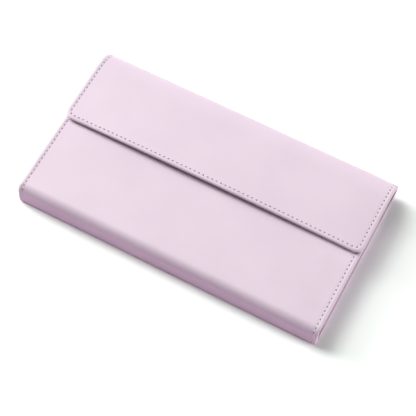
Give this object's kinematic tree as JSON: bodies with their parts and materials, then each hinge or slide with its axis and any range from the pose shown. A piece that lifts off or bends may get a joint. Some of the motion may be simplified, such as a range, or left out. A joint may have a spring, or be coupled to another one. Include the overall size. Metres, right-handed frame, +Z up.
{
  "type": "cash envelope wallet",
  "caption": "Long flat wallet with a magnetic flap, a gusseted front panel, tabbed cash envelopes, card slots and a zipped pouch.",
  "frame": {"origin": "under the middle of the closed wallet, on the face that it rests on", "axes": "+X along the folds, +Y towards the rear edge that carries the flap, +Z up"},
  "size_m": [0.2, 0.11, 0.018],
  "materials": {
    "outer_leather": "smooth, soft satin",
    "board": "grey stiffening board",
    "foam": "thin padding",
    "lining": "thin smooth lining",
    "gusset_cloth": "fine woven cloth",
    "zipper_tape": "woven tape",
    "zipper_teeth": "moulded teeth",
    "zipper_metal": "plated",
    "magnet_steel": "plated disc",
    "envelope_rose": "laminated paper",
    "envelope_peach": "laminated paper",
    "envelope_cream": "laminated paper",
    "envelope_mint": "laminated paper",
    "envelope_sky": "laminated paper",
    "envelope_lilac": "laminated paper"
  },
  "bodies": {
    "back": {"back_leather": "outer_leather", "back_board": "board", "back_lining": "lining", "front_spine_foam": "foam", "rear_spine_foam": "foam", "gusset_left": "gusset_cloth", "gusset_right": "gusset_cloth", "pouch_wall": "lining", "zipper_tape_front": "zipper_tape", "zipper_tape_rear": "zipper_tape", "zipper_teeth_front": "zipper_teeth", "zipper_teeth_rear": "zipper_teeth", "zipper_stops": "zipper_metal"},
    "flap": {"flap_leather": "outer_leather", "flap_board": "board", "flap_foam": "foam", "flap_lining": "lining", "flap_magnets": "magnet_steel"},
    "front_cover": {"cover_leather": "outer_leather", "cover_board": "board", "cover_lining": "lining", "cover_discs": "magnet_steel", "card_slot_1": "lining", "card_slot_2": "lining", "card_slot_3": "lining"},
    "slider": {"zipper_slider": "zipper_metal"},
    "pull": {"zipper_pull": "zipper_metal"},
    "cash_envelope_01": {"envelope_01": "envelope_rose"},
    "cash_envelope_02": {"envelope_02": "envelope_peach"},
    "cash_envelope_03": {"envelope_03": "envelope_cream"},
    "cash_envelope_04": {"envelope_04": "envelope_mint"},
    "cash_envelope_05": {"envelope_05": "envelope_sky"},
    "cash_envelope_06": {"envelope_06": "envelope_lilac"},
    "cash_envelope_07": {"envelope_07": "envelope_rose"},
    "cash_envelope_08": {"envelope_08": "envelope_peach"},
    "cash_envelope_09": {"envelope_09": "envelope_cream"},
    "cash_envelope_10": {"envelope_10": "envelope_mint"},
    "cash_envelope_11": {"envelope_11": "envelope_sky"},
    "cash_envelope_12": {"envelope_12": "envelope_lilac"}
  },
  "joints": [
    {"name": "flap_hinge", "type": "hinge", "parent": "back", "child": "flap", "pos_m": [0, 0.05515, 0.009], "axis": [-1, 0, 0], "range_deg": [0, 178]},
    {"name": "cover_hinge", "type": "hinge", "parent": "back", "child": "front_cover", "pos_m": [0, -0.04845, 0.0148], "axis": [1, 0, 0], "range_deg": [0, 22], "deforming": ["gusset_left", "gusset_right"]},
    {"name": "slider_slide", "type": "slide", "parent": "back", "child": "slider", "axis": [-1, 0, 0], "range_m": [0, 0.139], "deforming": ["zipper_teeth_front", "zipper_teeth_rear"]},
    {"name": "pull_hinge", "type": "hinge", "parent": "slider", "child": "pull", "pos_m": [0.0743, 0.0392, 0.00685], "axis": [0, 1, 0], "range_deg": [0, 120]},
    {"name": "envelope_01_lean", "type": "hinge", "parent": "back", "child": "cash_envelope_01", "pos_m": [0, -0.0506, 0.004], "axis": [1, 0, 0], "range_deg": [0, 1.3]},
    {"name": "envelope_02_lean", "type": "hinge", "parent": "back", "child": "cash_envelope_02", "pos_m": [0, -0.0506, 0.0046], "axis": [1, 0, 0], "range_deg": [0, 2.6]},
    {"name": "envelope_03_lean", "type": "hinge", "parent": "back", "child": "cash_envelope_03", "pos_m": [0, -0.0506, 0.0052], "axis": [1, 0, 0], "range_deg": [0, 3.9]},
    {"name": "envelope_04_lean", "type": "hinge", "parent": "back", "child": "cash_envelope_04", "pos_m": [0, -0.0506, 0.0058], "axis": [1, 0, 0], "range_deg": [0, 5.2]},
    {"name": "envelope_05_lean", "type": "hinge", "parent": "back", "child": "cash_envelope_05", "pos_m": [0, -0.0506, 0.0064], "axis": [1, 0, 0], "range_deg": [0, 6.5]},
    {"name": "envelope_06_lean", "type": "hinge", "parent": "back", "child": "cash_envelope_06", "pos_m": [0, -0.0506, 0.007], "axis": [1, 0, 0], "range_deg": [0, 7.8]},
    {"name": "envelope_07_lean", "type": "hinge", "parent": "back", "child": "cash_envelope_07", "pos_m": [0, -0.0506, 0.0076], "axis": [1, 0, 0], "range_deg": [0, 9.1]},
    {"name": "envelope_08_lean", "type": "hinge", "parent": "back", "child": "cash_envelope_08", "pos_m": [0, -0.0506, 0.0082], "axis": [1, 0, 0], "range_deg": [0, 10.4]},
    {"name": "envelope_09_lean", "type": "hinge", "parent": "back", "child": "cash_envelope_09", "pos_m": [0, -0.0506, 0.0088], "axis": [1, 0, 0], "range_deg": [0, 11.7]},
    {"name": "envelope_10_lean", "type": "hinge", "parent": "back", "child": "cash_envelope_10", "pos_m": [0, -0.0506, 0.0094], "axis": [1, 0, 0], "range_deg": [0, 13]},
    {"name": "envelope_11_lean", "type": "hinge", "parent": "back", "child": "cash_envelope_11", "pos_m": [0, -0.0506, 0.01], "axis": [1, 0, 0], "range_deg": [0, 14.3]},
    {"name": "envelope_12_lean", "type": "hinge", "parent": "back", "child": "cash_envelope_12", "pos_m": [0, -0.0506, 0.0106], "axis": [1, 0, 0], "range_deg": [0, 15.6]}
  ],
  "couplings": [
    {"joint": "cover_hinge", "follows": "flap_hinge", "ratio": 0.1235},
    {"joint": "pull_hinge", "follows": "flap_hinge", "ratio": 0.674},
    {"joint": "envelope_01_lean", "follows": "flap_hinge", "ratio": 0.0073},
    {"joint": "envelope_02_lean", "follows": "flap_hinge", "ratio": 0.0146},
    {"joint": "envelope_03_lean", "follows": "flap_hinge", "ratio": 0.0219},
    {"joint": "envelope_04_lean", "follows": "flap_hinge", "ratio": 0.0292},
    {"joint": "envelope_05_lean", "follows": "flap_hinge", "ratio": 0.0365},
    {"joint": "envelope_06_lean", "follows": "flap_hinge", "ratio": 0.0438},
    {"joint": "envelope_07_lean", "follows": "flap_hinge", "ratio": 0.0511},
    {"joint": "envelope_08_lean", "follows": "flap_hinge", "ratio": 0.0584},
    {"joint": "envelope_09_lean", "follows": "flap_hinge", "ratio": 0.0657},
    {"joint": "envelope_10_lean", "follows": "flap_hinge", "ratio": 0.073},
    {"joint": "envelope_11_lean", "follows": "flap_hinge", "ratio": 0.0803},
    {"joint": "envelope_12_lean", "follows": "flap_hinge", "ratio": 0.0876}
  ]
}
